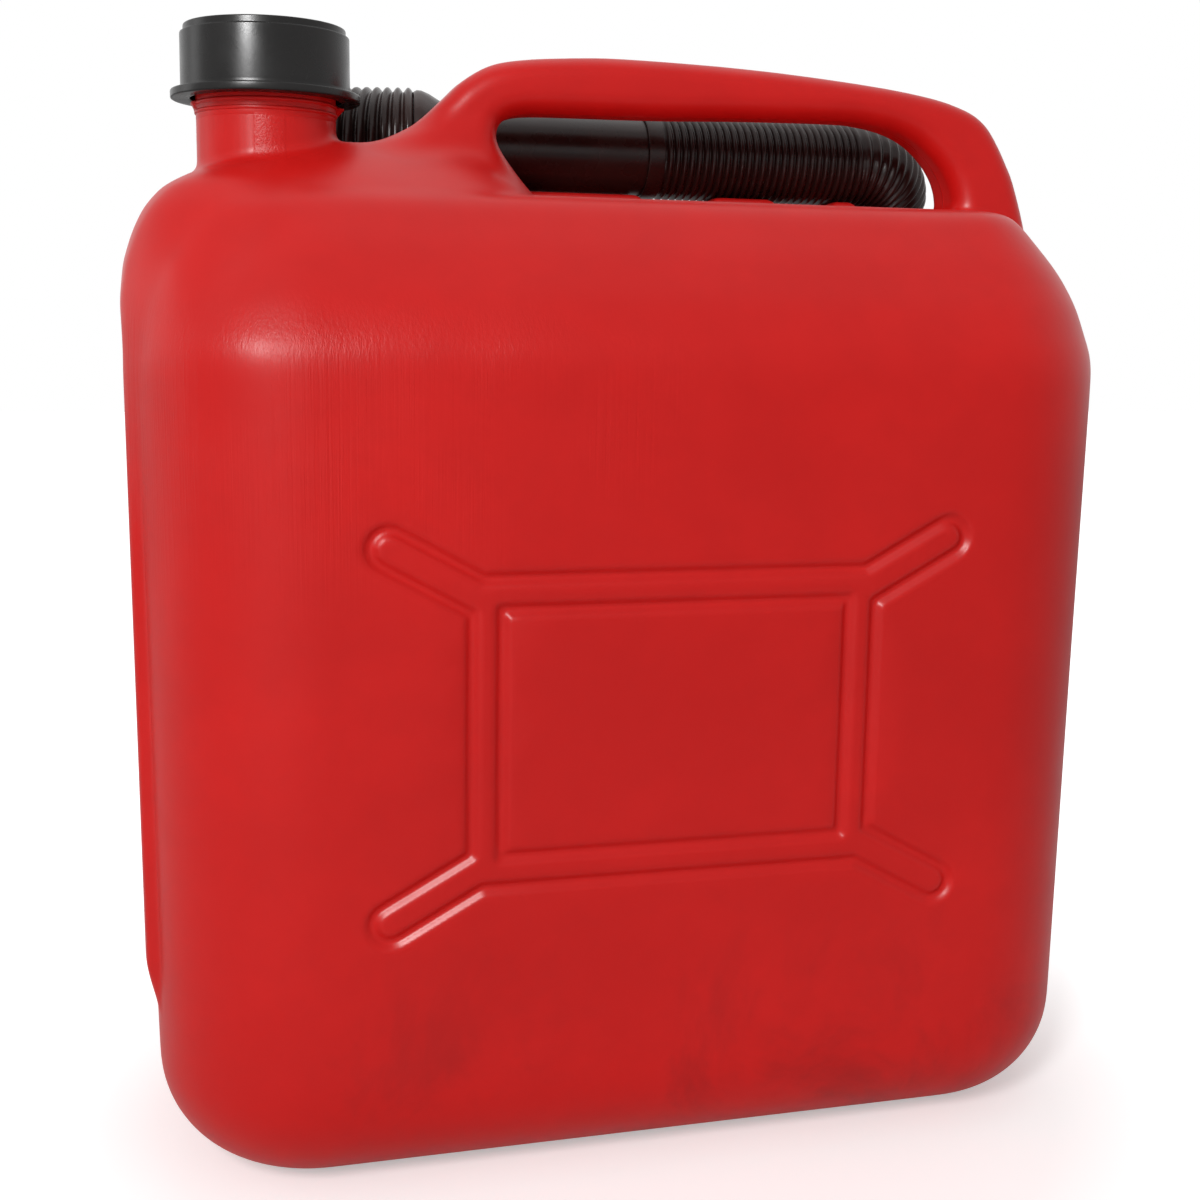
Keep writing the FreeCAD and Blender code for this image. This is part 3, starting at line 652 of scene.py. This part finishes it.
def cap_ring_object():
    lip_under = NECK_TOP + GASKET_T + DISC_T + 0.15
    z0, top = lip_under - 22.9, lip_under + 4.0
    flange, step = z0 + 3.1, top - 2.8
    bore, hole = NECK_R + 2.1, NECK_R - 1.7
    prof = [(bore, z0), (35.4, z0), (35.4, flange), (31.9, flange), (31.6, flange + 1.1), (31.5, step),
            (30.2, step), (30.2, top), (hole, top), (hole, lip_under), (bore, lip_under)]
    p = soften(prof, 0.7, 4, closed=True)
    rows = []
    for i in range(len(p)):
        a, b = p[i], p[(i + 1) % len(p)]
        rows.append(tuple(a))
        length = np.linalg.norm(b - a)
        if length > 3.0 and abs(a[0] - bore) < 0.2 and abs(b[0] - bore) < 0.2:
            m = int(length / 0.5)
            rows += [tuple(a + (b - a) * k / m) for k in range(1, m)]

    def bump(th, r, z):
        if abs(r - bore) > 0.05 or z > lip_under - 0.8:
            return np.zeros_like(th)
        return -thread_height(th, z, RING_THREAD_Z, RING_TURNS, 1.35, 1.5)

    return turned("cap_ring_turned", rows, 192, bump=bump, smooth=45.0)


def cap_disc_object():
    z0 = NECK_TOP + GASKET_T + 0.1
    rim = z0 + DISC_T
    wide, boss = NECK_R + 1.7, NECK_R - 2.1
    top = rim + 3.4
    prof = [(0.01, z0), (wide, z0), (wide, rim), (boss, rim), (boss, top), (boss - 3.4, top),
            (boss - 4.2, top - 1.4), (14.0, top - 1.4), (13.6, top - 0.9), (12.0, top - 0.9),
            (11.6, top - 1.4), (3.0, top - 1.4), (2.4, top - 1.0), (0.01, top - 1.0)]
    return turned("cap_disc_turned", soften(prof, 0.45, 3), 128, closed=False)


def cap_gasket_object():
    z0 = NECK_TOP + 0.05
    r0, r1 = NECK_R - NECK_WALL, NECK_R + 0.6
    z1 = z0 + GASKET_T
    prof = soften([(r0, z0), (r1, z0), (r1, z1), (r0, z1)], 0.35, 3, closed=True)
    return turned("cap_gasket_ring", prof, 96)


# ---------------------------------------------------------------- materials
class Nodes:
    """A Principled material and short calls that add nodes to it."""

    def __init__(self, name):
        self.mat = bpy.data.materials.new(name)
        self.mat.use_nodes = True
        self.t = self.mat.node_tree
        self.bsdf = self.t.nodes["Principled BSDF"]
        self.coord = self.t.nodes.new("ShaderNodeTexCoord").outputs["Object"]

    def link(self, a, b):
        self.t.links.new(a, b)

    def mapped(self, scale):
        n = self.t.nodes.new("ShaderNodeMapping")
        n.inputs["Scale"].default_value = scale
        self.link(self.coord, n.inputs["Vector"])
        return n.outputs["Vector"]

    def noise(self, scale, detail=3.0, rough=0.5, vec=None, distortion=0.0):
        n = self.t.nodes.new("ShaderNodeTexNoise")
        n.inputs["Scale"].default_value = scale
        n.inputs["Detail"].default_value = detail
        n.inputs["Roughness"].default_value = rough
        n.inputs["Distortion"].default_value = distortion
        self.link(vec or self.coord, n.inputs["Vector"])
        return n.outputs["Fac"]

    def math(self, op, a, b=0.5):
        n = self.t.nodes.new("ShaderNodeMath")
        n.operation = op
        for i, v in enumerate((a, b)):
            if isinstance(v, (int, float)):
                n.inputs[i].default_value = v
            else:
                self.link(v, n.inputs[i])
        return n.outputs[0]

    def times(self, *values):
        """Product of sockets and numbers."""
        out = values[0]
        for v in values[1:]:
            out = self.math("MULTIPLY", out, v)
        return out

    def remap(self, v, a, b, c, d, smooth=True):
        n = self.t.nodes.new("ShaderNodeMapRange")
        n.interpolation_type = "SMOOTHSTEP" if smooth else "LINEAR"
        n.inputs["From Min"].default_value = a
        n.inputs["From Max"].default_value = b
        n.inputs["To Min"].default_value = c
        n.inputs["To Max"].default_value = d
        self.link(v, n.inputs["Value"])
        return n.outputs["Result"]

    def xyz(self):
        n = self.t.nodes.new("ShaderNodeSeparateXYZ")
        self.link(self.coord, n.inputs[0])
        return n.outputs

    def mix(self, fac, a, b):
        n = self.t.nodes.new("ShaderNodeMix")
        n.data_type = "RGBA"
        for sock, v in ((n.inputs["Factor"], fac), (n.inputs[6], a), (n.inputs[7], b)):
            if isinstance(v, tuple):
                sock.default_value = v + (1.0,)
            else:
                self.link(v, sock)
        return n.outputs[2]

    def bump(self, height, strength, distance, normal=None):
        n = self.t.nodes.new("ShaderNodeBump")
        n.inputs["Strength"].default_value = strength
        n.inputs["Distance"].default_value = distance
        self.link(height, n.inputs["Height"])
        if normal is not None:
            self.link(normal, n.inputs["Normal"])
        return n.outputs["Normal"]


def red_hdpe():
    n = Nodes("red_hdpe_moulded")
    x, y, z = n.xyz()
    cloud = n.remap(n.noise(7.0, 4.0, 0.55), 0.3, 0.7, 0.0, 1.0)
    fine = n.remap(n.noise(60.0, 3.0, 0.6), 0.35, 0.7, 0.0, 1.0)
    col = n.mix(cloud, (0.555, 0.0080, 0.0068), (0.640, 0.0105, 0.0088))
    col = n.mix(n.times(fine, 0.22), col, (0.500, 0.0070, 0.0062))
    # fuel and dirt stains low on the faces
    low = n.remap(z, 0.03, 0.13, 1.0, 0.0)
    blot = n.noise(16.0, 5.0, 0.62, n.mapped((1.0, 1.0, 0.8)), 0.4)
    stain = n.remap(blot, 0.50, 0.72, 0.0, 1.0)
    col = n.mix(n.times(stain, low, 0.50), col, (0.310, 0.0090, 0.0090))
    n.link(col, n.bsdf.inputs["Base Color"])
    # drawn streaks of the parison, mainly on the upper part near the neck
    streak = n.noise(1.0, 4.0, 0.65, n.mapped((900.0, 900.0, 8.0)))
    above, below = n.remap(z, 0.20, 0.29, 0.0, 1.0), n.remap(z, 0.315, 0.340, 1.0, 0.0)
    patch = n.remap(n.noise(11.0, 2.0), 0.42, 0.60, 0.15, 1.0)
    drawn = n.times(streak, n.times(above, n.remap(x, 0.03, -0.07, 0.0, 1.0), below, patch))
    rough = n.remap(n.noise(25.0, 4.0, 0.6), 0.3, 0.7, 0.33, 0.40, smooth=False)
    n.link(n.math("ADD", rough, n.times(drawn, 0.10)), n.bsdf.inputs["Roughness"])
    n.bsdf.inputs["Specular IOR Level"].default_value = 0.20
    # fine unevenness of the moulded skin
    nor = n.bump(n.noise(420.0, 3.0, 0.55), 0.35, 0.00007)
    nor = n.bump(n.noise(1600.0, 2.0, 0.5), 0.25, 0.00004, nor)
    nor = n.bump(drawn, 0.85, 0.00035, nor)
    # rough patch cut into the mould on the neck's front
    from_middle = n.math("ABSOLUTE", n.math("ADD", x, 0.1405))
    spot = n.times(n.remap(z, 0.3815, 0.3835, 0.0, 1.0), n.remap(z, 0.398, 0.3995, 1.0, 0.0),
                   n.remap(from_middle, 0.005, 0.0062, 1.0, 0.0),
                   n.remap(y, -0.018, -0.020, 0.0, 1.0))
    nor = n.bump(n.times(n.noise(700.0, 4.0, 0.7), spot), 0.8, 0.0003, nor)
    # parting line in the centre plane
    seam = n.remap(n.math("ABSOLUTE", y), 0.0002, 0.0007, 1.0, 0.0)
    nor = n.bump(seam, 0.8, 0.00022, nor)
    n.link(nor, n.bsdf.inputs["Normal"])
    return n.mat


def black_plastic(name, base, light, rough):
    """Dark moulded plastic or rubber, cloudy between two colours and a little dusty."""
    n = Nodes(name)
    cloud = n.remap(n.noise(30.0, 4.0, 0.6), 0.32, 0.68, 0.0, 1.0)
    col = n.mix(cloud, base, light)
    dust = n.remap(n.noise(190.0, 5.0, 0.7), 0.60, 0.78, 0.0, 0.35)
    col = n.mix(dust, col, tuple(min(1.0, 2.2 * c + 0.006) for c in light))
    n.link(col, n.bsdf.inputs["Base Color"])
    r = n.remap(n.noise(70.0, 3.0, 0.6), 0.3, 0.7, rough - 0.05, rough + 0.06, smooth=False)
    n.link(r, n.bsdf.inputs["Roughness"])
    n.bsdf.inputs["Specular IOR Level"].default_value = 0.26
    nor = n.bump(n.noise(900.0, 3.0, 0.55), 0.25, 0.00006)
    nor = n.bump(n.noise(160.0, 2.0, 0.5), 0.20, 0.00012, nor)
    n.link(nor, n.bsdf.inputs["Normal"])
    return n.mat


def give(obj, mat):
    obj.data.materials.clear()
    obj.data.materials.append(mat)


# ---------------------------------------------------------------- camera
cam_data = bpy.data.cameras.new("camera")
cam = bpy.data.objects.new("camera", cam_data)
bpy.context.scene.collection.objects.link(cam)
bpy.context.scene.camera = cam
cam_data.sensor_width = 36.0
cam_data.lens = 50.816
cam_data.clip_start, cam_data.clip_end = 0.01, 50.0
cam_right = Vector((0.96315907, -0.26864231, 0.01248675))
cam_up = Vector((0.03015874, 0.1540325, 0.98760541))
cam_ahead = Vector((0.26723596, 0.95084452, -0.15645971))
placed = Matrix((cam_right, cam_up, -cam_ahead)).transposed().to_4x4()
placed.translation = Vector((-0.195037, -0.674337, 0.321662))
cam.matrix_world = placed

# ---------------------------------------------------------------- pieces
red = red_hdpe()
cap_black = black_plastic("cap_black_plastic",
                          (0.0060, 0.0054, 0.0052), (0.0095, 0.0085, 0.0082), 0.27)
spout_black = black_plastic("spout_black_plastic",
                            (0.0175, 0.0066, 0.0058), (0.0260, 0.0100, 0.0084), 0.27)
rubber = black_plastic("seal_rubber_grey", (0.020, 0.020, 0.021), (0.032, 0.032, 0.033), 0.62)

tank = tank_mesh()
give(tank, red)
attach(tank, "can")
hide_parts("can_body")

neck = neck_object()
give(neck, red)
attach(neck, "can")

for make, mat, body, node, slot in (
        (cap_ring_object, cap_black, "closure_ring", "cap_ring", "black_plastic"),
        (cap_disc_object, cap_black, "closure_disc", "cap_disc", "black_plastic"),
        (cap_gasket_object, rubber, "closure_disc", "cap_gasket", "seal_rubber"),
        (spout_tube_object, spout_black, "spout", "spout_tube", "black_plastic"),
        (spout_collar_object, spout_black, "spout", "spout_collar", "black_plastic"),
        (spout_hose_object, spout_black, "spout", "spout_hose", "black_plastic")):
    piece = make()
    give(piece, mat)
    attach(piece, body)
    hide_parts(node)

# ---------------------------------------------------------------- floor, light, background
class Tree:
    """The emptied node tree of a material or world."""

    def __init__(self, owner):
        owner.use_nodes = True
        self.t = owner.node_tree
        self.t.nodes.clear()

    def new(self, kind, *sources, **values):
        """Adds a node, links sources to its inputs in order and sets the named values."""
        n = self.t.nodes.new(kind)
        for i, source in enumerate(sources):
            if source is not None:
                self.t.links.new(source, n.inputs[i])
        for key, v in values.items():
            n.inputs[key.replace("_", " ")].default_value = v
        return n

    def maximum(self, a, b):
        n = self.new("ShaderNodeMath", a, b)
        n.operation = "MAXIMUM"
        return n.outputs[0]


FLOOR_HALF, FLOOR_Z = 6.0, -0.0004
floor_mesh = bpy.data.meshes.new("floor")
floor_mesh.from_pydata([(a * FLOOR_HALF, b * FLOOR_HALF, FLOOR_Z)
                        for a, b in ((-1, -1), (1, -1), (1, 1), (-1, 1))], [], [(0, 1, 2, 3)])
floor = bpy.data.objects.new("floor", floor_mesh)
bpy.context.scene.collection.objects.link(floor)
floor_white = bpy.data.materials.new("floor_white")
t = Tree(floor_white)
# the floor glows more the further it is from the can, so that it fades into the white
away = t.new("ShaderNodeVectorMath", t.new("ShaderNodeTexCoord").outputs["Object"])
away.operation = "LENGTH"
glow = t.new("ShaderNodeMapRange", away.outputs["Value"],
             From_Min=0.19, From_Max=0.36, To_Min=0.42, To_Max=0.92)
shade = t.new("ShaderNodeBsdfDiffuse", Color=(0.82, 0.82, 0.82, 1)).outputs[0]
glowing = t.new("ShaderNodeEmission", None, glow.outputs["Result"])
glowing = t.new("ShaderNodeAddShader", shade, glowing.outputs[0])
seen = t.new("ShaderNodeLightPath").outputs["Is Camera Ray"]
surface = t.new("ShaderNodeMixShader", seen, shade, glowing.outputs[0])
t.new("ShaderNodeOutputMaterial", surface.outputs[0])
floor_mesh.materials.append(floor_white)

# white where it is seen, straight, through or mirrored; softer where it lights the scene
world = bpy.data.worlds.new("studio")
bpy.context.scene.world = world
t = Tree(world)
path = t.new("ShaderNodeLightPath").outputs
seen = t.maximum(t.maximum(path["Is Camera Ray"], path["Is Transmission Ray"]), path["Is Glossy Ray"])
lighting = t.new("ShaderNodeBackground", Color=(1.0, 1.0, 1.0, 1), Strength=0.38)
backdrop = t.new("ShaderNodeBackground", Color=(1.0, 1.0, 1.0, 1), Strength=1.0)
surface = t.new("ShaderNodeMixShader", seen, lighting.outputs[0], backdrop.outputs[0])
t.new("ShaderNodeOutputWorld", surface.outputs[0])


def area(name, place, target, size, power):
    """Rectangular light that faces a point."""
    d = bpy.data.lights.new(name, "AREA")
    d.shape = "RECTANGLE"
    d.size, d.size_y = size
    d.energy = power
    o = bpy.data.objects.new(name, d)
    bpy.context.scene.collection.objects.link(o)
    o.location = place
    o.rotation_euler = (Vector(target) - Vector(place)).to_track_quat("-Z", "Y").to_euler()
    return o


area("key", (-0.95, -1.45, 1.22), (-0.03, 0, 0.24), (0.34, 0.62), 20.0)
glint = area("glint", (-0.93, -1.40, 1.16), (-0.03, 0, 0.24), (0.30, 0.50), 42.0)
glint.visible_diffuse = False     # a hard shine, without more light on the colour
area("top", (0.1, 0.3, 1.7), (0.0, 0, 0.2), (1.4, 1.0), 3.0)
area("side", (-1.5, 0.55, 0.55), (-0.15, 0, 0.22), (0.5, 1.1), 2.0)

bpy.context.scene.view_settings.view_transform = "Standard"
